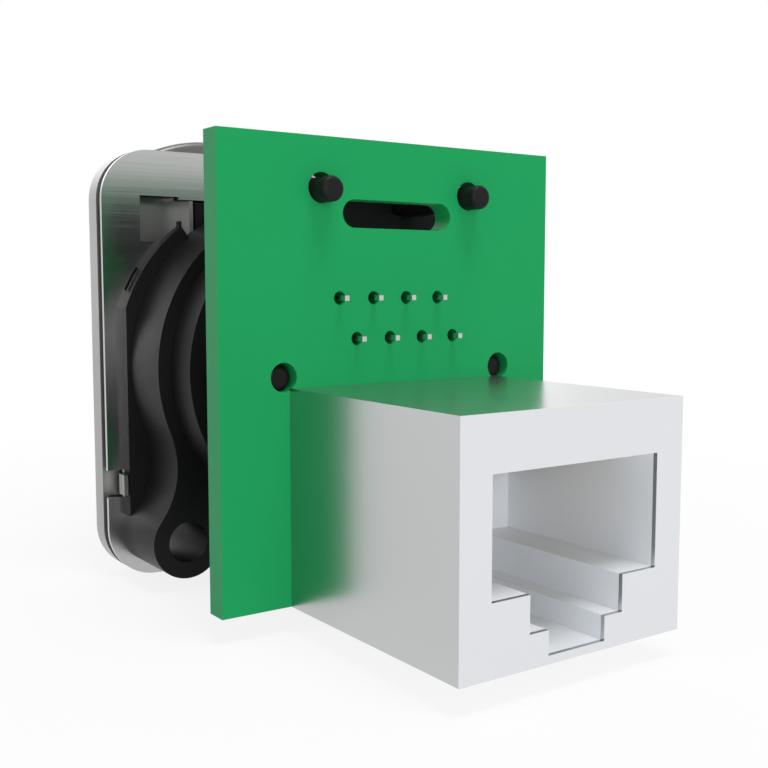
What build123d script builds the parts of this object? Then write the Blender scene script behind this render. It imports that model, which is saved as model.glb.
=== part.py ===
"""Feed-through panel connector for an eight-contact data plug.

A die-cast flange shell with a latch stands in front, a black moulded housing behind it carries a
circuit board on four pegs, and a shielded jack on the rear of the board repeats the front socket.
Millimetres. X is to the right seen from the front, +Y points to the rear, +Z is up. The origin is
the centre of the flange's front face.
"""
from build123d import *
import math
import os

# Flange: three layers of one outline
flange_w = 26.0
flange_h = 31.0
flange_corner_r = 3.6
shell_plate_t = 1.9
gasket_t = 0.75
ground_plate_t = 0.3
gasket_inset = 0.45
rim_fillet = 0.45

# Screw holes, one low on the right and one high on the left
screw_x = 9.5
screw_z = 12.0
screw_hole_r = 1.6

# Front collar and the mating bore through it
bore_r = 9.3
collar_r = 11.2
collar_len = 4.5
bore_lead_in = 0.5

# Ground spring, an open ring in a groove of the bore
spring_ring_t = 0.2
spring_ring_w = 3.2
spring_ring_y = -1.2
spring_groove_depth = 0.35
spring_ring_slip = 0.03
spring_ring_gap_deg = 110.0
spring_ridge_r = 0.5
spring_ridge_count = 5

# Latch opening with its two ribs and the pocket beside it, cut in from the rear of the flange
latch_slot_half_w = 6.0
latch_slot_floor_t = 0.45
latch_rib_t = 0.3
latch_rib_gap = 0.05
latch_open_half_w = 7.09
latch_open_high_z = 12.05
pocket_far_x = 10.16
pocket_high_z = 12.25
pocket_floor_t = 0.9
window_low_z = 8.98
latch_channel_half_w = 3.9
channel_high_z = 11.0

# Clips of the ground plate, one on each long side, turned back beside the housing's base
clip_mid_z = 8.5
clip_w = 1.5
clip_bend_r = 0.1
clip_inset = 0.82
clip_side_gap = 0.02
clip_notch_gap = 0.25

# Slits punched in the ground plate beside the housing
slit_r = 12.64
slit_w = 0.2
slit_from_deg = 25.6
slit_to_deg = 34.1

# Rear housing: base plate, two barrel steps, bosses, webs
base_r = 12.5
base_t = 1.0
base_gap_from_deg = 53.6
base_gap_to_deg = 112.0
base_tip_w = 0.18
base_tip_t = 0.5
base_tip_rise = 0.37
base_tip_root = 0.5
barrel_r = 11.55
barrel_len = 6.05
nose_r = 10.66
nose_len = 3.1
boss_r = 2.56
boss_step = 0.12
boss_hole_r = 1.43
web_r = 6.0
rear_wall_t = 1.5
window_gap = 0.1

# Latch chamber on top of the housing and the key that fills the flange's opening
chamber_half_w = 5.15
chamber_side_z = 10.68
chamber_top_z = 11.1
chamber_ceiling_z = 10.5
chamber_len = 11.15
chamber_cavity_len = 8.05
key_gap = 0.15

# Board posts and the pegs on them
board_gap = 6.95
top_peg_x = 5.715
side_peg_x = 8.45
peg_r = 0.78
peg_round = 0.3
peg_slip = 0.02
top_peg_proud = 1.45
side_peg_inset = 0.5
top_post_r = 0.95
side_post_r = 1.15
post_arm_t = 1.0
post_arm_half_w = 8.9
post_arm_low_z = 8.0

# Circuit board
board_w = 25.5
board_h = 28.7
board_t = 1.6
board_bottom = 13.88
pin_hole_r = 0.52
top_hole_r = 0.94
top_hole_z = 11.72
side_hole_r = 0.9
side_hole_z = 0.3
slot_centre_z = 10.25
slot_len = 8.4
slot_w = 1.75

# Data socket: stepped outline, widest part at the top
socket_w = 12.0
socket_h = 6.5
step_w = 6.8
step_h = 2.1
keyway_w = 4.13
keyway_h = 1.38

# Contacts, one bent wire each, tails in two rows
contact_count = 8
contact_pitch = 1.27
row_pitch = 2.54
wire = 0.45
tail_proud = 0.85
rail_above_ceiling = 1.14
wire_bend_r = 0.3
wire_slot_gap = 0.5
finger_turn_drop = 0.85
finger_tip_drop = 3.0

# Front jack
front_ceiling_z = 3.9
front_jack_standoff = 1.2
front_jack_depth = 14.6
front_back_wall = 3.0
front_body_half_w = 6.4
front_body_low = 6.35
front_body_high = 6.25
front_sheet_t = 0.2
front_turn_depth = 12.6
front_tip_depth = 6.6
front_foot = 1.2

# Rear jack
rear_jack_w = 16.1
rear_jack_h = 13.5
rear_jack_depth = 16.39
rear_ceiling_drop = 3.05
rear_back_wall = 4.0
rear_sheet_t = 0.25
rear_turn_depth = 13.9
rear_tip_depth = 6.8
shield_tab_w = 1.5
shield_tab_len = 2.5
shield_tab_z = -7.0
shield_tab_gap = 0.2
shield_slip = 0.03

# Latch lever, its pin and its spring
lever_half_w = 3.6
lever_low_z = 9.12
lever_t = 1.0
lever_rear_t = 0.8
lever_rear_len = 5.6
hook_len = 1.0
hook_drop = 0.45
pivot_y = 4.6
pivot_z = 9.65
pin_r = 0.5
pin_gap = 0.04
knuckle_r = 0.8
tab_rear_y = -6.5
tab_len = 3.1
tab_half_w = 8.0
tab_r = 12.34
tab_centre_z = 5.42
tab_under_r = 13.0
tab_fillet = 0.5
tab_corner_r = 1.2
neck_inset = 0.3
leaf_t = 0.15
leaf_w = 3.0
leaf_end_gap = 0.02

# Places that follow from the sizes
clip_outer_x = flange_w / 2 - clip_inset
clip_root_x = clip_outer_x - ground_plate_t - clip_bend_r
base_half_w = clip_root_x - clip_side_gap
flange_t = shell_plate_t + gasket_t + ground_plate_t
barrel_end_y = flange_t + barrel_len
nose_end_y = barrel_end_y + nose_len
board_front_y = nose_end_y + board_gap
board_rear_y = board_front_y + board_t
top_peg_z = top_hole_z - top_hole_r + peg_r + peg_slip
side_peg_z = side_hole_z - side_hole_r + peg_r + peg_slip
rear_top_z = rear_jack_h - board_bottom
rear_ceiling_z = rear_top_z - rear_ceiling_drop
front_shield_half_w = front_body_half_w + front_sheet_t + shield_slip
screw_points = [(screw_x, -screw_z), (-screw_x, screw_z)]


def outline(*points):
    """Closed face through straight-line points."""
    return make_face(Polyline(*points, close=True))


def box_face(x0, x1, z0, z1):
    """Rectangle between two X and two Z values."""
    return Pos((x0 + x1) / 2, (z0 + z1) / 2) * Rectangle(x1 - x0, z1 - z0)


def slab(sketch, y0, y1):
    """An X-Z outline given depth from y0 back to y1."""
    plane = Plane((0, y0, 0), x_dir=(1, 0, 0), z_dir=(0, -1, 0))
    return extrude(plane * sketch, amount=y0 - y1)


def rib(sketch, half_w, x=0.0):
    """A Y-Z outline given width on both sides of X = x."""
    return extrude(Plane.YZ.offset(x) * sketch, amount=half_w, both=True)


def disc(r, x=0.0, z=0.0):
    """Circle of radius r at (x, z)."""
    return Pos(x, z) * Circle(r)


def tangent_circle(c1, r1, c2, r2, r, side):
    """Centre of the circle of radius r that touches two circles from outside."""
    gap = math.dist(c1, c2)
    reach = r1 + r
    turn = math.acos((reach**2 + gap**2 - (r2 + r) ** 2) / (2 * reach * gap))
    angle = math.atan2(c2[1] - c1[1], c2[0] - c1[0]) + side * turn
    return c1[0] + reach * math.cos(angle), c1[1] + reach * math.sin(angle)


def toward(start, end, distance):
    """Point at a distance from start on the line to end."""
    share = distance / math.dist(start, end)
    return tuple(a + (b - a) * share for a, b in zip(start, end))


def flange_outline(inset=0.0):
    """Rounded rectangle of the flange."""
    return RectangleRounded(flange_w - 2 * inset, flange_h - 2 * inset, flange_corner_r - inset)


def clip_places():
    """Side (+1 right, -1 left) and height of the middle of each clip."""
    return [(1, -clip_mid_z), (-1, clip_mid_z)]


def notch_outline():
    """Rectangles that leave room for the clips at the flange's long edges."""
    half = clip_w / 2 + clip_notch_gap
    faces = []
    for side, z in clip_places():
        x0, x1 = sorted((side * clip_root_x, side * flange_w))
        faces.append(box_face(x0, x1, z - half, z + half))
    return faces


def pocket_outline(near_x):
    """Pocket beside the latch opening, from an X near the opening to its far end."""
    return [box_face(near_x, latch_open_half_w, window_low_z, latch_open_high_z),
            box_face(latch_open_half_w, pocket_far_x, window_low_z, pocket_high_z)]


def wedge_outline(from_deg, to_deg, reach):
    """Wedge between two angles, counted from +X towards +Z."""
    first, last = (math.radians(a) for a in (from_deg, to_deg))
    middle = (first + last) / 2
    return outline((0, 0), (reach * math.cos(first), reach * math.sin(first)),
                   (2 * reach * math.cos(middle), 2 * reach * math.sin(middle)),
                   (reach * math.cos(last), reach * math.sin(last)))


def make_front_shell():
    """Flange plate and collar with bore, latch channel, pocket and screw holes."""
    flange = slab(flange_outline(), 0, shell_plate_t)
    front_rim = flange.faces().sort_by(Axis.Y)[0].edges()
    flange = fillet(front_rim, min(rim_fillet, 0.9 * shell_plate_t))
    shell = flange + slab(disc(collar_r), -collar_len, 0)
    shell -= slab(disc(bore_r), -collar_len, shell_plate_t)
    lead_in = Plane((0, -collar_len, 0), x_dir=(1, 0, 0), z_dir=(0, 1, 0)) * Pos(0, 0, bore_lead_in / 2)
    shell -= lead_in * Cone(bore_r + bore_lead_in, bore_r, bore_lead_in)
    groove = disc(bore_r + spring_groove_depth) - disc(bore_r - spring_groove_depth)
    shell -= slab(groove, spring_ring_y - spring_ring_w / 2, spring_ring_y + spring_ring_w / 2)
    collar_channel = box_face(-latch_channel_half_w, latch_channel_half_w, 0, flange_w / 2)
    shell -= slab(collar_channel, -collar_len, 0) - slab(disc(bore_r / 2), -collar_len, 0)
    channel = box_face(-latch_channel_half_w, latch_channel_half_w, 0, channel_high_z)
    shell -= slab(channel, 0, shell_plate_t)
    latch_slot = box_face(-latch_slot_half_w, latch_slot_half_w, window_low_z, latch_open_high_z)
    shell -= slab(latch_slot, latch_slot_floor_t, shell_plate_t)
    rib_outer = latch_slot_half_w + latch_rib_t
    for pocket in pocket_outline(rib_outer):
        shell -= slab(pocket, pocket_floor_t, shell_plate_t)
    for side in (-1, 1):
        x0, x1 = sorted((side * latch_slot_half_w, side * rib_outer))
        upright = box_face(x0, x1, window_low_z + latch_rib_gap, latch_open_high_z - latch_rib_gap)
        shell += slab(upright, shell_plate_t, flange_t - latch_rib_gap)
    for x, z in screw_points:
        shell -= slab(disc(screw_hole_r, x, z), 0, shell_plate_t)
    return shell


def make_ground_spring():
    """Open ring of thin strip with pressed ridges that touch the plug's shell."""
    outer = bore_r + spring_groove_depth - spring_ring_slip
    inner = outer - spring_ring_t
    reach = 2 * outer
    half_gap = math.radians(spring_ring_gap_deg / 2)
    wedge = outline((0, 0), (-reach * math.sin(half_gap), reach * math.cos(half_gap)),
                    (-reach, 2 * reach), (reach, 2 * reach),
                    (reach * math.sin(half_gap), reach * math.cos(half_gap)))
    half_w = spring_ring_w / 2 - spring_ring_slip
    ring = slab(disc(outer) - disc(inner) - wedge, spring_ring_y - half_w, spring_ring_y + half_w)
    ridge = slab(disc(spring_ridge_r, inner) & disc(inner + spring_ring_t / 2),
                 spring_ring_y - half_w / 2, spring_ring_y + half_w / 2)
    step = (360 - spring_ring_gap_deg) / spring_ridge_count
    for index in range(spring_ridge_count):
        angle = 90 + spring_ring_gap_deg / 2 + step * (index + 0.5)
        ring += Rot(0, -angle, 0) * ridge
    return ring


def make_gasket():
    """Soft sealing layer, set in from the flange's edge."""
    sheet = flange_outline(gasket_inset) - disc(bore_r) - notch_outline()
    sheet -= pocket_outline(-latch_open_half_w)
    sheet -= [disc(screw_hole_r, x, z) for x, z in screw_points]
    sheet -= box_face(-latch_channel_half_w, latch_channel_half_w, 0, window_low_z)
    return slab(sheet, shell_plate_t, shell_plate_t + gasket_t)


def make_ground_plate():
    """Brushed sheet with a window, two slits and two clips bent back beside the housing."""
    front_y = shell_plate_t + gasket_t
    sheet = flange_outline() - disc(bore_r) - notch_outline()
    sheet -= pocket_outline(-latch_open_half_w)
    sheet -= [disc(screw_hole_r, x, z) for x, z in screw_points]
    sheet -= box_face(-latch_channel_half_w, latch_channel_half_w, 0, window_low_z)
    slit = disc(slit_r + slit_w / 2) - disc(slit_r - slit_w / 2)
    slit &= wedge_outline(slit_from_deg, slit_to_deg, flange_h)
    sheet -= [slit, Rot(0, 0, 180) * slit]
    plate = slab(sheet, front_y, flange_t)
    middle = ground_plate_t / 2
    for side, z in clip_places():
        upright_x = side * (clip_outer_x - middle)
        path = FilletPolyline((side * (clip_root_x - ground_plate_t), front_y + middle),
                              (upright_x, front_y + middle), (upright_x, flange_t + base_t),
                              radius=clip_bend_r + middle)
        strip = Plane.XY.offset(z - clip_w / 2) * trace(path, ground_plate_t)
        plate += extrude(strip, amount=clip_w)
    return plate


def base_outline():
    """Base plate: a disc with two flats, skirts to the bosses and a gap for the latch."""
    disc_part = disc(base_r) & Rectangle(2 * base_half_w, 2 * base_r)
    skirt = outline((0, 0), (base_half_w, 0), (base_half_w, -screw_z), (screw_x, -screw_z))
    plate = disc_part + skirt + Rot(0, 0, 180) * skirt
    gap = wedge_outline(base_gap_from_deg, base_gap_to_deg, 2 * base_r)
    return plate - (gap - disc(barrel_r))


def base_tip_outline():
    """Small tip where the base plate ends at its gap."""
    angle = math.radians(base_gap_from_deg)
    x, z = base_r * math.cos(angle), base_r * math.sin(angle)
    return box_face(x, x + base_tip_w, z - base_tip_root, z + base_tip_rise)


def boss_outline(x, z):
    """One boss and the two concave webs that run from it into the barrel."""
    centre = (0, 0)
    boss = (x, z)
    rounds = [tangent_circle(centre, barrel_r, boss, boss_r, web_r, side) for side in (-1, 1)]
    on_barrel = [toward(centre, c, barrel_r) for c in rounds]
    on_boss = [toward(boss, c, boss_r) for c in rounds]
    web = outline(centre, on_barrel[0], on_boss[0], boss, on_boss[1], on_barrel[1])
    for c in rounds:
        web -= disc(web_r, *c)
    return web + disc(boss_r, x, z)


def chamber_outline(half_w, side_z, top_z):
    """Latch chamber with a slightly crowned top."""
    sides = Polyline((-half_w, side_z), (-half_w, 0), (half_w, 0), (half_w, side_z))
    crown = ThreePointArc((half_w, side_z), (0, top_z), (-half_w, side_z))
    return make_face([sides, crown])


def make_peg(x, z, end_y):
    """Round peg from the board's front face to end_y, with a rounded tip."""
    peg = slab(disc(peg_r, x, z), board_front_y, end_y)
    return fillet(peg.faces().sort_by(Axis.Y)[-1].edges(), peg_round)


def make_rear_housing():
    """Black moulding: base plate, stepped barrel, bosses, latch chamber, posts and pegs."""
    base_end_y = flange_t + base_t
    body = slab(base_outline(), flange_t, base_end_y)
    body += slab(base_tip_outline(), base_end_y - base_tip_t, base_end_y)
    body += slab(disc(barrel_r), flange_t, barrel_end_y)
    body += slab(disc(nose_r), barrel_end_y, nose_end_y)
    for x, z in screw_points:
        body += slab(boss_outline(x, z), flange_t, barrel_end_y - boss_step)
    chamber = chamber_outline(chamber_half_w, chamber_side_z, chamber_top_z)
    body += slab(chamber, flange_t, flange_t + chamber_len)
    key_half_w = latch_slot_half_w - key_gap
    key = box_face(-key_half_w, key_half_w, window_low_z + key_gap, latch_open_high_z - key_gap)
    body += slab(key, latch_slot_floor_t + key_gap, flange_t)
    body += slab(key & disc(barrel_r), flange_t, base_end_y)
    arm_high_z = top_peg_z + top_post_r
    arm = RectangleRounded(2 * post_arm_half_w, arm_high_z - post_arm_low_z, top_post_r)
    arm = Pos(0, (arm_high_z + post_arm_low_z) / 2) * arm
    body += slab(arm, nose_end_y, nose_end_y + post_arm_t)
    body -= slab(disc(bore_r), flange_t, nose_end_y - rear_wall_t)
    channel = box_face(-latch_channel_half_w, latch_channel_half_w, bore_r / 2, chamber_ceiling_z)
    body -= slab(channel, 0, flange_t + chamber_cavity_len)
    window_half_w = front_shield_half_w + window_gap
    window = box_face(-window_half_w, window_half_w,
                      -front_body_low - front_sheet_t - window_gap - shield_slip,
                      front_body_high + front_sheet_t + window_gap + shield_slip)
    body -= slab(window, flange_t, board_front_y)
    for x, z in screw_points:
        body -= slab(disc(boss_hole_r, x, z), flange_t, barrel_end_y)
    for side in (-1, 1):
        x = side * top_peg_x
        body += slab(disc(top_post_r, x, top_peg_z), nose_end_y, board_front_y)
        body += make_peg(x, top_peg_z, board_rear_y + top_peg_proud)
        x = side * side_peg_x
        body += slab(disc(side_post_r, x, side_peg_z), nose_end_y - rear_wall_t, board_front_y)
        body += make_peg(x, side_peg_z, board_rear_y - side_peg_inset)
    pin_bore = rib(disc(pin_r, pivot_y, pivot_z), chamber_half_w)
    return body - pin_bore


def tail_rows(rail_z):
    """X and tail height of each contact: neighbours alternate between the two rows."""
    first = (contact_count - 1) / 2 * contact_pitch
    return [(first - index * contact_pitch, rail_z - row_pitch * (index % 2))
            for index in range(contact_count)]


def make_circuit_board():
    """Board with holes for both rows of tails, the pegs, the shield tabs and the long slot."""
    low = -board_bottom
    sheet = box_face(-board_w / 2, board_w / 2, low, low + board_h)
    for ceiling in (front_ceiling_z, rear_ceiling_z):
        sheet -= [disc(pin_hole_r, x, z) for x, z in tail_rows(ceiling + rail_above_ceiling)]
    for side in (-1, 1):
        sheet -= disc(top_hole_r, side * top_peg_x, top_hole_z)
        sheet -= disc(side_hole_r, side * side_peg_x, side_hole_z)
        outer = side * rear_jack_w / 2
        inner = outer - side * (rear_sheet_t + shield_tab_gap)
        sheet -= box_face(*sorted((inner, outer)), shield_tab_z - shield_tab_w / 2 - shield_tab_gap,
                          shield_tab_z + shield_tab_w / 2 + shield_tab_gap)
    sheet -= Pos(0, slot_centre_z) * SlotOverall(slot_len, slot_w)
    return slab(sheet, board_front_y, board_rear_y)


def socket_outline(ceiling_z):
    """Stepped socket opening, symmetric in X, hanging down from its ceiling."""
    shoulder = ceiling_z - socket_h
    step = shoulder - step_h
    floor = step - keyway_h
    right = [(socket_w / 2, ceiling_z), (socket_w / 2, shoulder), (step_w / 2, shoulder),
             (step_w / 2, step), (keyway_w / 2, step), (keyway_w / 2, floor)]
    left = [(-x, z) for x, z in reversed(right)]
    return outline(*right, *left)


def contact_wire(x, tail_z, ceiling_z, face_y, sign, depths):
    """One contact: tail through the board, rail above the socket, finger slanting back."""
    rise, turn, tip = depths
    rail_z = ceiling_z + rail_above_ceiling
    points = [(-board_t - tail_proud, tail_z)]
    if tail_z < rail_z:
        points += [(rise, tail_z), (rise, rail_z)]
    points += [(turn, rail_z), (turn, rail_z - finger_turn_drop), (tip, rail_z - finger_tip_drop)]
    path = FilletPolyline(*[(face_y + sign * d, z) for d, z in points], radius=wire_bend_r)
    return rib(trace(path, wire), wire / 2, x)


def front_depth_y(depth):
    """Y of a depth in the front jack, measured forward from the board's front face."""
    return board_front_y - depth


def rear_depth_y(depth):
    """Y of a depth in the rear jack, measured back from the board's rear face."""
    return board_rear_y + depth


def make_contacts(ceiling_z, face_y, sign, depths):
    """The eight contacts of one jack."""
    return [contact_wire(x, z, ceiling_z, face_y, sign, depths)
            for x, z in tail_rows(ceiling_z + rail_above_ceiling)]


def comb_half_width():
    """Half width of the row of contacts with its side clearance."""
    return (contact_count - 1) / 2 * contact_pitch + wire_slot_gap + wire / 2


def carrier_outline(ceiling_z):
    """Outline of the block that holds one jack's tails."""
    half = comb_half_width()
    rail_z = ceiling_z + rail_above_ceiling
    return box_face(-half, half, rail_z - row_pitch - wire_slot_gap - wire / 2,
                    rail_z + wire_slot_gap + wire / 2)


def make_jack_body(x_half, z0, z1, ceiling_z, depth_y, start, back, mouth, turn):
    """Insulating body: socket, recess for the fingers and pocket for the contact carrier."""
    body = slab_between(box_face(-x_half, x_half, z0, z1), depth_y(start), depth_y(mouth))
    body -= slab_between(socket_outline(ceiling_z), depth_y(back), depth_y(mouth))
    half = comb_half_width()
    rail_top = ceiling_z + rail_above_ceiling + wire_slot_gap + wire / 2
    recess = box_face(-half, half, ceiling_z - socket_h / 2, rail_top)
    body -= slab_between(recess, depth_y(back), depth_y(turn + wire_slot_gap))
    body -= slab_between(carrier_outline(ceiling_z), depth_y(start), depth_y(back))
    return body


def slab_between(sketch, ya, yb):
    """An X-Z outline between two Y values given in either order."""
    return slab(sketch, min(ya, yb), max(ya, yb))


def make_carrier(ceiling_z, depth_y, start, back, contacts):
    """Block moulded round the tails of one jack's contacts."""
    block = slab_between(carrier_outline(ceiling_z), depth_y(start), depth_y(back))
    for contact in contacts:
        block -= contact
    return block


def make_shield(x_half, z0, z1, sheet_t, ceiling_z, depth_y, start, mouth):
    """Folded sheet box, open to the board, with the stepped socket cut in its front."""
    outer = slab_between(box_face(-x_half, x_half, z0, z1), depth_y(start), depth_y(mouth))
    inner = box_face(-x_half + sheet_t, x_half - sheet_t, z0 + sheet_t, z1 - sheet_t)
    outer -= slab_between(inner, depth_y(start), depth_y(mouth - sheet_t))
    return outer - slab_between(socket_outline(ceiling_z), depth_y(mouth - sheet_t), depth_y(mouth))


def make_front_jack():
    """Body, carrier, shield and contacts of the front jack."""
    rise = (front_jack_standoff + front_back_wall) / 2
    depths = (rise, front_turn_depth, front_tip_depth)
    contacts = make_contacts(front_ceiling_z, board_front_y, -1, depths)
    body = make_jack_body(front_body_half_w, -front_body_low, front_body_high, front_ceiling_z,
                          front_depth_y, front_jack_standoff, front_back_wall,
                          front_jack_depth - front_sheet_t - shield_slip, front_turn_depth)
    foot = front_foot
    for x in (-front_body_half_w, front_body_half_w - foot):
        for z in (-front_body_low, front_body_high - foot):
            body += slab_between(box_face(x, x + foot, z, z + foot), board_front_y,
                                 front_depth_y(front_jack_standoff))
    carrier = make_carrier(front_ceiling_z, front_depth_y, front_jack_standoff, front_back_wall,
                           contacts)
    wall = front_sheet_t + shield_slip
    shield = make_shield(front_body_half_w + wall, -front_body_low - wall, front_body_high + wall,
                         front_sheet_t, front_ceiling_z, front_depth_y, 0, front_jack_depth)
    return body, carrier, shield, contacts


def make_rear_jack():
    """Body, carrier, shield and contacts of the rear jack."""
    wall = rear_sheet_t + shield_slip
    low, high = -board_bottom, rear_top_z
    depths = (rear_back_wall / 2, rear_turn_depth, rear_tip_depth)
    contacts = make_contacts(rear_ceiling_z, board_rear_y, 1, depths)
    body = make_jack_body(rear_jack_w / 2 - wall, low + wall, high - wall, rear_ceiling_z,
                          rear_depth_y, 0, rear_back_wall, rear_jack_depth - wall, rear_turn_depth)
    carrier = make_carrier(rear_ceiling_z, rear_depth_y, 0, rear_back_wall, contacts)
    shield = make_shield(rear_jack_w / 2, low, high, rear_sheet_t, rear_ceiling_z, rear_depth_y,
                         0, rear_jack_depth)
    for side in (-1, 1):
        x0, x1 = sorted((side * rear_jack_w / 2, side * (rear_jack_w / 2 - rear_sheet_t)))
        tab = box_face(x0, x1, shield_tab_z - shield_tab_w / 2, shield_tab_z + shield_tab_w / 2)
        shield += slab(tab, board_rear_y - shield_tab_len, board_rear_y)
    return body, carrier, shield, contacts


def make_latch_lever():
    """Rocker: push tab in front, flat arm through the flange, hook at the rear."""
    tab_front_y = tab_rear_y - tab_len
    top = lever_low_z + lever_t
    rear_top = lever_low_z + lever_rear_t
    rear_y = pivot_y + lever_rear_len
    arm = outline((tab_front_y + neck_inset, lever_low_z), (tab_front_y + neck_inset, top),
                  (pivot_y, top), (pivot_y + knuckle_r, rear_top), (rear_y, rear_top),
                  (rear_y, lever_low_z - hook_drop), (rear_y - hook_len, lever_low_z - hook_drop),
                  (rear_y - hook_len - hook_drop, lever_low_z))
    lever = rib(arm + disc(knuckle_r, pivot_y, pivot_z), lever_half_w)
    lever -= rib(disc(pin_r + pin_gap, pivot_y, pivot_z), lever_half_w)
    crescent = disc(tab_r, 0, tab_centre_z) - disc(tab_under_r)
    crescent &= box_face(-tab_half_w, tab_half_w, 0, 2 * tab_r)
    crescent = fillet(crescent.vertices().group_by(Axis.Y)[-1], tab_corner_r)
    tab = slab(crescent, tab_front_y, tab_rear_y)
    tab = fillet(tab.edges().filter_by(GeomType.CIRCLE).group_by(Axis.Z)[-1], tab_fillet)
    neck_top = (tab_under_r + tab_centre_z + tab_r) / 2
    neck = box_face(-lever_half_w, lever_half_w, lever_low_z, neck_top)
    return lever + tab + slab(neck, tab_front_y + neck_inset, tab_rear_y - neck_inset)


def make_latch_pin():
    """Straight pin through the lever's knuckle, pressed into the chamber's side walls."""
    return rib(disc(pin_r, pivot_y, pivot_z), chamber_half_w)


def make_latch_spring():
    """Leaf spring between the chamber's ceiling and the rear of the lever."""
    half = leaf_t / 2
    high = chamber_ceiling_z - half
    low = lever_low_z + lever_rear_t + half + leaf_end_gap
    rear_y = flange_t + chamber_cavity_len - leaf_end_gap
    start_y = pivot_y + knuckle_r
    tip_y = pivot_y + lever_rear_len - hook_len / 2
    line = Polyline((rear_y, high), ((rear_y + start_y) / 2, high), (start_y + leaf_t, high))
    arm = Polyline((start_y + leaf_t, high), (tip_y, low))
    strip = trace(line, leaf_t) + trace(arm, leaf_t)
    return rib(strip, leaf_w / 2)


def main():
    """Builds every piece and writes one file for each."""
    os.makedirs("parts", exist_ok=True)
    front_body, front_carrier, front_shield, front_contacts = make_front_jack()
    rear_body, rear_carrier, rear_shield, rear_contacts = make_rear_jack()
    pieces = {
        "front_shell": make_front_shell(),
        "ground_spring": make_ground_spring(),
        "flange_gasket": make_gasket(),
        "ground_plate": make_ground_plate(),
        "rear_housing": make_rear_housing(),
        "latch_lever": make_latch_lever(),
        "latch_pin": make_latch_pin(),
        "latch_spring": make_latch_spring(),
        "front_jack_body": front_body,
        "front_contact_carrier": front_carrier,
        "front_jack_shield": front_shield,
        "circuit_board": make_circuit_board(),
        "rear_jack_body": rear_body,
        "rear_contact_carrier": rear_carrier,
        "rear_jack_shield": rear_shield,
    }
    for index in range(contact_count):
        pieces[f"front_contact_{index + 1}"] = front_contacts[index]
        pieces[f"rear_contact_{index + 1}"] = rear_contacts[index]
    for name, shape in pieces.items():
        export_step(shape, f"parts/{name}.step")


main()
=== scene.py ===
"""Studio picture of a feed-through panel connector for an eight-contact data plug.

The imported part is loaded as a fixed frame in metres: +X to the right seen from the front, +Y from
the flange to the rear jack, +Z up. The classes below dress each sub-assembly, recut the board and
its contacts, and set up the studio.
"""
from __future__ import annotations

import logging
import math
from dataclasses import dataclass
from enum import Enum

import bmesh
import bpy
from mathutils import Matrix, Vector

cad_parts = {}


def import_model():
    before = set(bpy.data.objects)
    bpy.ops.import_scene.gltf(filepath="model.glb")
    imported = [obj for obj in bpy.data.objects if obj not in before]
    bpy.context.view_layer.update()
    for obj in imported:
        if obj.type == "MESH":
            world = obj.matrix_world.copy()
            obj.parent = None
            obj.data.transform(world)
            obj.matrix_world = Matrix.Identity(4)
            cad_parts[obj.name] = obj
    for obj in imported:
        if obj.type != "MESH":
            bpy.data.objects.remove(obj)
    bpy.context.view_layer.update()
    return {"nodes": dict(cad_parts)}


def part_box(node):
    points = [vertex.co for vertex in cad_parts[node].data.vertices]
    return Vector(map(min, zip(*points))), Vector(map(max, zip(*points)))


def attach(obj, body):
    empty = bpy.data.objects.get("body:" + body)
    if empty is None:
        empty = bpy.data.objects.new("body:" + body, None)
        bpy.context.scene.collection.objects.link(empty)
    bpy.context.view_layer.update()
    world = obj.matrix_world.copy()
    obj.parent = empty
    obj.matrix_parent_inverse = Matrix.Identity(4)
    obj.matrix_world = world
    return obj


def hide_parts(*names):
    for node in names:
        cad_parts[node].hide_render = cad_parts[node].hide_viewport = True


log = logging.getLogger("panel_connector")

MM = 0.001
WHITE = "#FFFFFF"
CONTACTS_PER_JACK = 8
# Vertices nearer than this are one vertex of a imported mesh.
MERGE_MM = 0.001
# Edges of a recut piece that turn by more than this stay sharp.
SHARP_EDGE_DEG = 30.0
# Depth of a finish's relief at full strength, and the fineness of its noise.
RELIEF_DEPTH_MM = 0.02
GRAIN_DETAIL = 2.0
# Numbers of the Mix node's colour sockets, which share their names with its other sockets.
MIX_FIRST, MIX_SECOND, MIX_RESULT = 6, 7, 2


class Axis(Enum):
    """Axis of the object along which a finish changes colour."""

    X = "X"
    Y = "Y"


def linear(code: str) -> tuple[float, float, float, float]:
    """Turns an sRGB hex colour into linear values.

    Args:
        code: Six hex digits with a leading #.

    Returns:
        Red, green, blue and alpha.
    """
    parts = [int(code[i:i + 2], 16) / 255 for i in (1, 3, 5)]
    red, green, blue = [c / 12.92 if c <= 0.04045 else ((c + 0.055) / 1.055) ** 2.4 for c in parts]
    return red, green, blue, 1.0


def add_node(tree: bpy.types.NodeTree, kind: str, settings: dict[str, object] | None = None,
             inputs: dict[str | int, object] | None = None) -> bpy.types.Node:
    """Adds one node with its settings and links.

    Args:
        tree: Node tree that gets the node.
        kind: Blender's name of the node's type.
        settings: Properties of the node.
        inputs: Input sockets by name or number, each given a value or another node's output.

    Returns:
        The new node.
    """
    node = tree.nodes.new(kind)
    for key, value in (settings or {}).items():
        setattr(node, key, value)
    for key, value in (inputs or {}).items():
        if isinstance(value, bpy.types.NodeSocket):
            tree.links.new(value, node.inputs[key])
        else:
            node.inputs[key].default_value = value
    return node


def background_rays(tree: bpy.types.NodeTree) -> bpy.types.NodeSocket:
    """Adds the test for rays that meet the white background: seen, mirrored or let through.

    Args:
        tree: Node tree of the floor or of the world.

    Returns:
        1 for such a ray and 0 for one that only carries light.
    """
    path = add_node(tree, "ShaderNodeLightPath")
    found = path.outputs["Is Camera Ray"]
    for kind in ("Is Glossy Ray", "Is Transmission Ray"):
        either = add_node(tree, "ShaderNodeMath", {"operation": "MAXIMUM"},
                          {0: found, 1: path.outputs[kind]})
        found = either.outputs[0]
    return found


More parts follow.
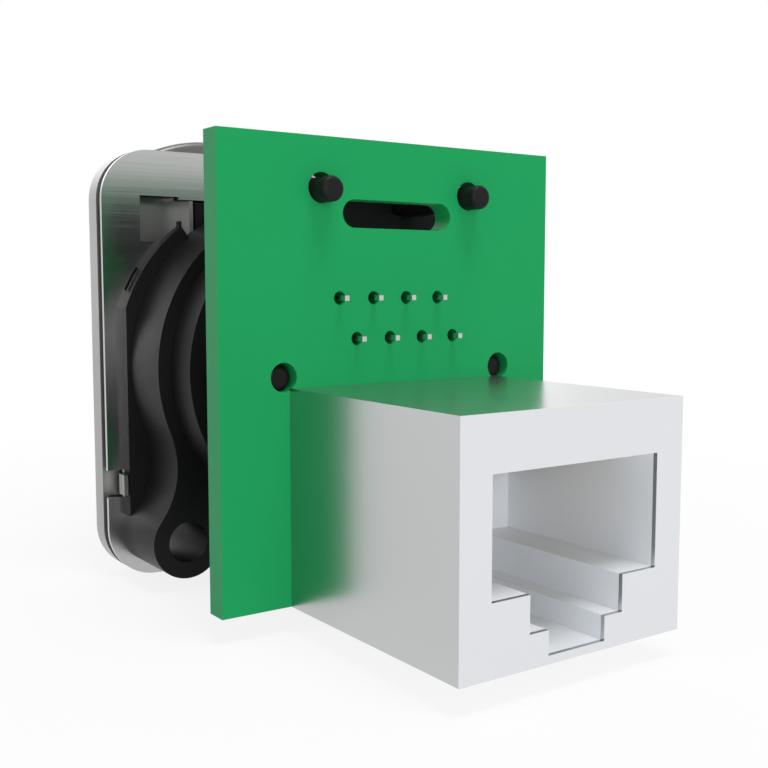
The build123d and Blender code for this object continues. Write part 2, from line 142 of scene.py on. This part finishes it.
@dataclass(frozen=True)
class Finish:
    """A surface with one colour, a fine relief and uneven gloss.

    Attributes:
        name: Name of the material.
        colour: sRGB hex colour.
        metallic: 1 for bare metal, 0 for plastic and rubber.
        roughness: Mean roughness of the gloss.
        grain_mm: Sizes of the grain along X, Y and Z.
        relief: Strength of the grain's relief; 0 leaves it out.
        roughness_spread: How far the grain moves the roughness up and down.
        specular: Specular level, 0.5 for a common plastic.
        upright_blur: How much the gloss is drawn out up and down, from 0 to 1.
    """

    name: str
    colour: str
    metallic: float
    roughness: float
    grain_mm: tuple[float, float, float]
    relief: float
    roughness_spread: float = 0.0
    specular: float = 0.5
    upright_blur: float = 0.0

    def build(self) -> bpy.types.Material:
        """Makes the material.

        Returns:
            The new material.
        """
        material = bpy.data.materials.new(self.name)
        material.use_nodes = True
        tree = material.node_tree
        tree.nodes.clear()
        shader = add_node(tree, "ShaderNodeBsdfPrincipled", inputs={
            "Metallic": self.metallic, "Roughness": self.roughness,
            "Specular IOR Level": self.specular, "Base Color": linear(self.colour)})
        if self.upright_blur:
            upright = add_node(tree, "ShaderNodeCombineXYZ", inputs={"Z": 1.0})
            shader.inputs["Anisotropic"].default_value = self.upright_blur
            tree.links.new(upright.outputs["Vector"], shader.inputs["Tangent"])
        self.dress(tree, shader)
        add_node(tree, "ShaderNodeOutputMaterial", inputs={"Surface": shader.outputs["BSDF"]})
        return material

    def grain(self, tree: bpy.types.NodeTree) -> bpy.types.NodeSocket:
        """Adds noise with the finish's grain sizes.

        Args:
            tree: Node tree of the material.

        Returns:
            The noise's value, from 0 to 1.
        """
        place = add_node(tree, "ShaderNodeTexCoord")
        grains_per_metre = tuple(1 / (size * MM) for size in self.grain_mm)
        scaled = add_node(tree, "ShaderNodeMapping", inputs={
            "Vector": place.outputs["Object"], "Scale": grains_per_metre})
        noise = add_node(tree, "ShaderNodeTexNoise", inputs={
            "Vector": scaled.outputs["Vector"], "Scale": 1.0, "Detail": GRAIN_DETAIL})
        return noise.outputs["Fac"]

    def dress(self, tree: bpy.types.NodeTree, shader: bpy.types.Node) -> None:
        """Adds the relief and the uneven gloss.

        Args:
            tree: Node tree of the material.
            shader: The material's shader.
        """
        grain = self.grain(tree)
        if self.relief:
            bump = add_node(tree, "ShaderNodeBump", inputs={
                "Strength": self.relief, "Distance": RELIEF_DEPTH_MM * MM, "Height": grain})
            tree.links.new(bump.outputs["Normal"], shader.inputs["Normal"])
        if self.roughness_spread:
            gloss = add_node(tree, "ShaderNodeMapRange", inputs={
                "Value": grain, "To Min": self.roughness - self.roughness_spread,
                "To Max": self.roughness + self.roughness_spread})
            tree.links.new(gloss.outputs["Result"], shader.inputs["Roughness"])


@dataclass(frozen=True)
class TwoTone(Finish):
    """A finish that has a second colour beyond a border.

    Attributes:
        second: sRGB hex colour beyond the border.
        axis: Axis along which the border is measured.
        border_mm: Place of the border on that axis, from the object's origin.
        both_sides: Whether the second colour also lies beyond the border's mirror image.
    """

    second: str = WHITE
    axis: Axis = Axis.X
    border_mm: float = 0.0
    both_sides: bool = True

    def dress(self, tree: bpy.types.NodeTree, shader: bpy.types.Node) -> None:
        """Adds the relief and the gloss, then the second colour.

        Args:
            tree: Node tree of the material.
            shader: The material's shader.
        """
        super().dress(tree, shader)
        place = add_node(tree, "ShaderNodeTexCoord")
        split = add_node(tree, "ShaderNodeSeparateXYZ", inputs={"Vector": place.outputs["Object"]})
        value = split.outputs[self.axis.value]
        if self.both_sides:
            distance = add_node(tree, "ShaderNodeMath", {"operation": "ABSOLUTE"}, {0: value})
            value = distance.outputs[0]
        beyond = add_node(tree, "ShaderNodeMath", {"operation": "GREATER_THAN"},
                          {0: value, 1: self.border_mm * MM})
        mix = add_node(tree, "ShaderNodeMix", {"data_type": "RGBA"}, {
            "Factor": beyond.outputs[0], MIX_FIRST: linear(self.colour),
            MIX_SECOND: linear(self.second)})
        tree.links.new(mix.outputs[MIX_RESULT], shader.inputs["Base Color"])


# Satin nickel on die-cast zinc, blasted before plating: a pale grey metal with soft reflections
# and a faint mottle.
SATIN_NICKEL = Finish("satin_nickel", "#A1A1A0", 0.84, 0.32, (0.8, 0.8, 0.8), 0.02, 0.02)
# The latch is the same casting, duller and with a finer mottle. Its darker colour is painted shade,
# so that its upturned top doesn't shine under the lamp above.
DULL_SHADED_NICKEL = Finish("dull_shaded_nickel", "#6C6C6B", 0.9, 0.38, (0.6, 0.6, 0.6), 0.05, 0.04)
# Brushed stainless sheet: streaks along X that blur the reflection up and down. Real ones lie
# about 0.03 mm apart, too fine to show, so they are drawn 0.12 mm apart.
BRUSHED_SHEET = Finish("brushed_sheet", "#BCBDBC", 1.0, 0.21, (9.0, 0.12, 0.12), 0.12, 0.05,
                       upright_blur=0.6)
# Tinned steel sheet, rolled smooth: broad patches of slightly uneven gloss. Its second colour is a
# painted highlight: the rear jack's pressed face is painted brighter than the folded sides, as if
# lit.
# The border is 0.04 mm inside that face.
TINNED_SHEET_PAINTED_HIGHLIGHT = TwoTone("tinned_sheet", "#C3C4C5", 1.0, 0.26, (6.0, 6.0, 6.0), 0.0, 0.02,
                       second="#E3E5E8", axis=Axis.Y, border_mm=37.0, both_sides=False)
# Spring steel strip: plain rolled metal with faint marks along the rolling.
SPRING_STEEL = Finish("spring_steel", "#C2C2C0", 1.0, 0.25, (0.2, 1.5, 0.2), 0.1)
# Glass-filled black polyamide, moulded: dark, with a low and slightly uneven sheen.
BLACK_POLYAMIDE = Finish("black_polyamide", "#1B1B1B", 0.0, 0.4, (0.4, 0.4, 0.4), 0.02, 0.03,
                         specular=0.11)
# Black polyester of the inner jack, moulded with a fine grain: duller than the housing.
JACK_POLYESTER = Finish("jack_polyester", "#1B1C1D", 0.0, 0.45, (0.25, 0.25, 0.25), 0.15,
                        specular=0.3)
# Silicone rubber seal, cut from sheet: dark and dull.
SEAL_RUBBER = Finish("seal_rubber", "#181817", 0.0, 0.7, (0.2, 0.2, 0.2), 0.3, specular=0.1)
# Pale polyester of the rear jack's insert, moulded: light bounces about in its socket.
PALE_INSERT = Finish("pale_insert", "#F5F9FE", 0.0, 0.4, (0.6, 0.6, 0.6), 0.03, 0.03)
# Epoxy-glass board under green solder mask, which dries with a faint ripple. The sawn left and
# right edges show the paler laminate, from 0.02 mm inside them.
MASKED_BOARD = TwoTone("masked_board", "#1C9E5A", 0.0, 0.42, (0.8, 0.8, 0.8), 0.05,
                       specular=0.1, second="#309A60", axis=Axis.X, border_mm=12.73)
# Phosphor bronze wire, drawn: gold plate on the fingers, bright tin on the tails in the board.
# The plating changes between the front jack's carrier and the board, and inside the rear jack's.
FRONT_WIRE = TwoTone("front_wire", "#D9B25A", 1.0, 0.22, (0.2, 0.2, 0.2), 0.05,
                     second="#C2C3C4", axis=Axis.Y, border_mm=18.4, both_sides=False)
REAR_WIRE = TwoTone("rear_wire", "#C2C3C4", 1.0, 0.22, (0.2, 0.2, 0.2), 0.05,
                    second="#D9B25A", axis=Axis.Y, border_mm=22.4, both_sides=False)


def open_copy(node: bpy.types.Object) -> bmesh.types.BMesh:
    """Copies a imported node's mesh and joins its loose triangles.

    Args:
        node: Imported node, which stays as it is.

    Returns:
        The merged copy.
    """
    form = bmesh.new()
    form.from_mesh(node.data)
    bmesh.ops.remove_doubles(form, verts=form.verts, dist=MERGE_MM * MM)
    return form


def keep_copy(form: bmesh.types.BMesh, node: bpy.types.Object, name: str) -> bpy.types.Object:
    """Makes a recut copy the piece that stands for its node.

    Args:
        form: Recut copy, freed here.
        node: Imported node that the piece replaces.
        name: Name of the piece.

    Returns:
        The piece, riding on the frame body.
    """
    mesh = bpy.data.meshes.new(name)
    form.to_mesh(mesh)
    form.free()
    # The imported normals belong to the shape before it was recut.
    packed_normals = mesh.attributes.get("custom_normal")
    if packed_normals:
        mesh.attributes.remove(packed_normals)
    mesh.shade_smooth()
    mesh.set_sharp_from_angle(angle=math.radians(SHARP_EDGE_DEG))
    piece = bpy.data.objects.new(name, mesh)
    bpy.context.scene.collection.objects.link(piece)
    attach(piece, "frame")
    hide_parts(node.name)
    return piece


@dataclass
class SubAssembly:
    """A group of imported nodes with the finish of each.

    Attributes:
        title: What the log calls the group.
        finishes: Finish of each node, by the node's name.
    """

    title: str
    finishes: dict[str, Finish]

    def recut(self, nodes: dict[str, bpy.types.Object]) -> dict[str, bpy.types.Object]:
        """Makes the pieces that stand for some of the nodes; a plain group has none.

        Args:
            nodes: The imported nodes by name.

        Returns:
            The new pieces by the name of the node that each replaces.
        """
        return {}

    def dress(self, nodes: dict[str, bpy.types.Object],
              shelf: dict[Finish, bpy.types.Material]) -> None:
        """Gives each node, or the piece that stands for it, its material.

        Args:
            nodes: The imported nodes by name.
            shelf: Materials made so far, filled as finishes are first used.
        """
        shown = nodes | self.recut(nodes)
        for name, finish in self.finishes.items():
            piece = shown[name]
            if finish not in shelf:
                shelf[finish] = finish.build()
            if not piece.material_slots:
                piece.data.materials.append(shelf[finish])
            for slot in piece.material_slots:
                slot.material = shelf[finish]
            log.info("%s: %s in %s", self.title, piece.name, finish.name)


@dataclass
class FlangeGroup(SubAssembly):
    """Shell, gasket, ground plate and the spring ring in the bore."""

    @classmethod
    def make(cls) -> FlangeGroup:
        """Lists the flange's nodes."""
        return cls("flange", {"front_shell": SATIN_NICKEL, "ground_spring": SPRING_STEEL,
                              "flange_gasket": SEAL_RUBBER, "ground_plate": BRUSHED_SHEET})


@dataclass
class HousingGroup(SubAssembly):
    """Rear moulding with the latch, its pin and its spring."""

    @classmethod
    def make(cls) -> HousingGroup:
        """Lists the housing's nodes."""
        return cls("housing", {"rear_housing": BLACK_POLYAMIDE, "latch_lever": DULL_SHADED_NICKEL,
                               "latch_pin": SPRING_STEEL, "latch_spring": SPRING_STEEL})


@dataclass
class BoardGroup(SubAssembly):
    """Circuit board with both jacks and their contacts.

    Seen close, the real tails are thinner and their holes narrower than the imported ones, so the
    board and the contacts are recut.

    Attributes:
        contact_count: Contacts of each jack.
        tail_share: Share of a tail's packed width that stays.
        hole_share: Share of a hole's packed width that stays.
        hole_reach_mm: Radius round a tail within which the board's vertices belong to its hole.
        tip_depth_mm: Length of a tail's end whose vertices give its middle.
    """

    contact_count: int = CONTACTS_PER_JACK
    tail_share: float = 0.71
    hole_share: float = 0.81
    hole_reach_mm: float = 0.6
    tip_depth_mm: float = 0.05

    def thin_tail(self, form: bmesh.types.BMesh, side: int, from_y: float) -> Vector:
        """Thins a contact's tail from the middle of the board to its tip.

        Args:
            form: Merged copy of the contact.
            side: 1 for a tail that points to +Y, -1 for one that points to -Y.
            from_y: Y where the thin part starts, in metres.

        Returns:
            Middle of the tip.
        """
        tip_y = max(side * vert.co.y for vert in form.verts)
        tip = [vert.co.copy() for vert in form.verts
               if side * vert.co.y > tip_y - self.tip_depth_mm * MM]
        middle = sum(tip, Vector()) / len(tip)
        bmesh.ops.bisect_plane(form, geom=form.verts[:] + form.edges[:] + form.faces[:],
                               plane_co=(0.0, from_y, 0.0), plane_no=(0.0, 1.0, 0.0))
        beyond = [vert for vert in form.verts if side * (vert.co.y - from_y) > -MERGE_MM * MM]
        bmesh.ops.scale(form, vec=(self.tail_share, 1.0, self.tail_share),
                        space=Matrix.Translation(-middle), verts=beyond)
        return middle

    def narrow_holes(self, form: bmesh.types.BMesh, middles: list[Vector]) -> None:
        """Narrows the board's holes round the tails.

        Args:
            form: Merged copy of the board.
            middles: Middle of each tail's tip.
        """
        reach = self.hole_reach_mm * MM
        for middle in middles:
            rim = [vert for vert in form.verts
                   if math.hypot(vert.co.x - middle.x, vert.co.z - middle.z) < reach]
            bmesh.ops.scale(form, vec=(self.hole_share, 1.0, self.hole_share),
                            space=Matrix.Translation(-middle), verts=rim)

    def recut(self, nodes: dict[str, bpy.types.Object]) -> dict[str, bpy.types.Object]:
        """Makes the board and the contacts that are shown.

        Args:
            nodes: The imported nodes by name.

        Returns:
            The new pieces by the name of the node that each replaces.
        """
        low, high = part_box("circuit_board")
        mid_board = (low.y + high.y) / 2
        pieces: dict[str, bpy.types.Object] = {}
        middles: list[Vector] = []
        for jack, side in (("front", 1), ("rear", -1)):
            for index in range(1, self.contact_count + 1):
                node = nodes[f"{jack}_contact_{index}"]
                form = open_copy(node)
                middles.append(self.thin_tail(form, side, mid_board))
                pieces[node.name] = keep_copy(form, node, f"{jack}_wire_{index}")
        board = nodes["circuit_board"]
        form = open_copy(board)
        self.narrow_holes(form, middles)
        pieces[board.name] = keep_copy(form, board, "drilled_board")
        return pieces

    @classmethod
    def make(cls, contact_count: int = CONTACTS_PER_JACK) -> BoardGroup:
        """Lists the nodes on the board.

        Args:
            contact_count: Contacts of each jack.

        Returns:
            The group.
        """
        finishes: dict[str, Finish] = {
            "circuit_board": MASKED_BOARD,
            "front_jack_body": JACK_POLYESTER, "front_jack_shield": TINNED_SHEET_PAINTED_HIGHLIGHT,
            "front_contact_carrier": JACK_POLYESTER,
            "rear_jack_body": PALE_INSERT, "rear_jack_shield": TINNED_SHEET_PAINTED_HIGHLIGHT,
            "rear_contact_carrier": JACK_POLYESTER}
        for index in range(1, contact_count + 1):
            finishes[f"front_contact_{index}"] = FRONT_WIRE
            finishes[f"rear_contact_{index}"] = REAR_WIRE
        return cls("board", finishes, contact_count)


@dataclass(frozen=True)
class SoftLamp:
    """A square lamp that shines at one point.

    Attributes:
        name: Name of the lamp.
        azimuth_deg: Side it hangs on: 0 in front (-Y), 90 to the right (+X), 180 behind (+Y).
        height_deg: Angle above the horizon.
        distance_mm: Distance from the point.
        size_mm: Length of its sides.
        watts: Its power.
    """

    name: str
    azimuth_deg: float
    height_deg: float
    distance_mm: float
    size_mm: float
    watts: float

    def hang(self, centre: Vector) -> None:
        """Hangs the lamp.

        Args:
            centre: Point that it shines at, in metres.
        """
        data = bpy.data.lights.new(self.name, "AREA")
        data.shape, data.size, data.energy = "SQUARE", self.size_mm * MM, self.watts
        lamp = bpy.data.objects.new(self.name, data)
        turn, rise = math.radians(self.azimuth_deg), math.radians(self.height_deg)
        away = Vector((math.sin(turn) * math.cos(rise), -math.cos(turn) * math.cos(rise),
                       math.sin(rise)))
        lamp.location = centre + away * self.distance_mm * MM
        lamp.rotation_mode = "QUATERNION"
        lamp.rotation_quaternion = (-away).to_track_quat("-Z", "Y")
        bpy.context.scene.collection.objects.link(lamp)


@dataclass
class Studio:
    """Camera, floor, surroundings and lamps.

    Attributes:
        camera_mm: Place of the camera.
        yaw_deg: How far the view is turned from -Y towards -X.
        pitch_deg: How far the view is tilted down.
        lens_mm: Focal length.
        sensor_mm: Width of the sensor.
        clip_mm: Nearest and furthest distance that the camera shows.
        floor_z_mm: Height of the floor, which the flange stands on.
        floor_size_mm: Length of the floor's sides.
        floor_colour: Colour of the floor's paper, which takes the shadow.
        floor_glow: Share of plain white in the floor under the object.
        shadow_mm: Distances from the middle at which the white starts to rise and is full.
        ambient: Strength of the light from all round.
        centre_mm: Point that the lamps shine at.
        lamps: The lamps: above the board, low behind it, and in front of the flange.
    """

    camera_mm: tuple[float, float, float] = (40.007, 76.52, 5.93)
    yaw_deg: float = 34.842
    pitch_deg: float = 5.379
    lens_mm: float = 50.0
    sensor_mm: float = 36.0
    clip_mm: tuple[float, float] = (1.0, 10000.0)
    floor_z_mm: float = -15.5
    floor_size_mm: float = 3000.0
    floor_colour: str = "#F4F4F4"
    floor_glow: float = 0.85
    shadow_mm: tuple[float, float] = (30.0, 80.0)
    ambient: float = 0.45
    centre_mm: tuple[float, float, float] = (0.0, 14.0, 0.0)
    lamps: tuple[SoftLamp, ...] = (
        SoftLamp("key", 182.0, 72.0, 300.0, 110.0, 0.42),
        SoftLamp("low", 165.0, 6.0, 300.0, 110.0, 0.23),
        SoftLamp("front", 345.0, 18.0, 300.0, 350.0, 0.38))

    def make_camera(self) -> None:
        """Places the camera where the photograph was taken from."""
        data = bpy.data.cameras.new("camera")
        data.lens, data.sensor_width = self.lens_mm, self.sensor_mm
        data.clip_start, data.clip_end = (distance * MM for distance in self.clip_mm)
        camera = bpy.data.objects.new("camera", data)
        yaw, pitch = math.radians(self.yaw_deg), math.radians(self.pitch_deg)
        forward = Vector((-math.sin(yaw) * math.cos(pitch), -math.cos(yaw) * math.cos(pitch),
                          -math.sin(pitch)))
        camera.rotation_mode = "QUATERNION"
        camera.rotation_quaternion = forward.to_track_quat("-Z", "Y")
        camera.location = Vector(self.camera_mm) * MM
        bpy.context.scene.collection.objects.link(camera)
        bpy.context.scene.camera = camera

    def dress_floor(self) -> bpy.types.Material:
        """Makes white studio paper that keeps the object's shadow.

        Returns:
            Diffuse paper for light, mixed with plain white for rays that meet the background.
        """
        material = bpy.data.materials.new("studio_paper")
        material.use_nodes = True
        tree = material.node_tree
        tree.nodes.clear()
        paper = add_node(tree, "ShaderNodeBsdfDiffuse",
                         inputs={"Color": linear(self.floor_colour)})
        glow = add_node(tree, "ShaderNodeEmission", inputs={"Color": linear(WHITE)})
        place = add_node(tree, "ShaderNodeTexCoord")
        away = add_node(tree, "ShaderNodeVectorMath", {"operation": "LENGTH"},
                        {0: place.outputs["Object"]})
        glow_share = add_node(tree, "ShaderNodeMapRange", inputs={
            "Value": away.outputs["Value"], "From Min": self.shadow_mm[0] * MM,
            "From Max": self.shadow_mm[1] * MM, "To Min": self.floor_glow, "To Max": 1.0})
        share = add_node(tree, "ShaderNodeMath", {"operation": "MULTIPLY"},
                         {0: background_rays(tree), 1: glow_share.outputs["Result"]})
        mix = add_node(tree, "ShaderNodeMixShader", inputs={
            0: share.outputs[0], 1: paper.outputs[0], 2: glow.outputs[0]})
        add_node(tree, "ShaderNodeOutputMaterial", inputs={"Surface": mix.outputs[0]})
        return material

    def make_floor(self) -> None:
        """Lays the plain floor."""
        form = bmesh.new()
        bmesh.ops.create_grid(form, x_segments=1, y_segments=1, size=self.floor_size_mm / 2 * MM)
        mesh = bpy.data.meshes.new("floor")
        form.to_mesh(mesh)
        form.free()
        mesh.materials.append(self.dress_floor())
        floor = bpy.data.objects.new("floor", mesh)
        floor.location = (0.0, 0.0, self.floor_z_mm * MM)
        bpy.context.scene.collection.objects.link(floor)

    def make_surroundings(self) -> None:
        """Fills the surroundings with soft light and shows white behind the object."""
        world = bpy.data.worlds.new("studio")
        bpy.context.scene.world = world
        world.use_nodes = True
        tree = world.node_tree
        tree.nodes.clear()
        strength = add_node(tree, "ShaderNodeMapRange", inputs={
            "Value": background_rays(tree), "To Min": self.ambient, "To Max": 1.0})
        sky = add_node(tree, "ShaderNodeBackground", inputs={
            "Color": linear(WHITE), "Strength": strength.outputs["Result"]})
        add_node(tree, "ShaderNodeOutputWorld", inputs={"Surface": sky.outputs[0]})

    def build(self) -> None:
        """Sets up the whole studio, camera first."""
        self.make_camera()
        self.make_floor()
        self.make_surroundings()
        for lamp in self.lamps:
            lamp.hang(Vector(self.centre_mm) * MM)
        bpy.context.scene.view_settings.view_transform = "Standard"


def main() -> None:
    """Loads the part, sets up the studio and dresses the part."""
    logging.basicConfig(level=logging.INFO, format="%(message)s")
    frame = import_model()
    Studio().build()
    shelf: dict[Finish, bpy.types.Material] = {}
    for group in (FlangeGroup.make(), HousingGroup.make(), BoardGroup.make()):
        group.dress(frame["nodes"], shelf)


if __name__ == "__main__":
    main()
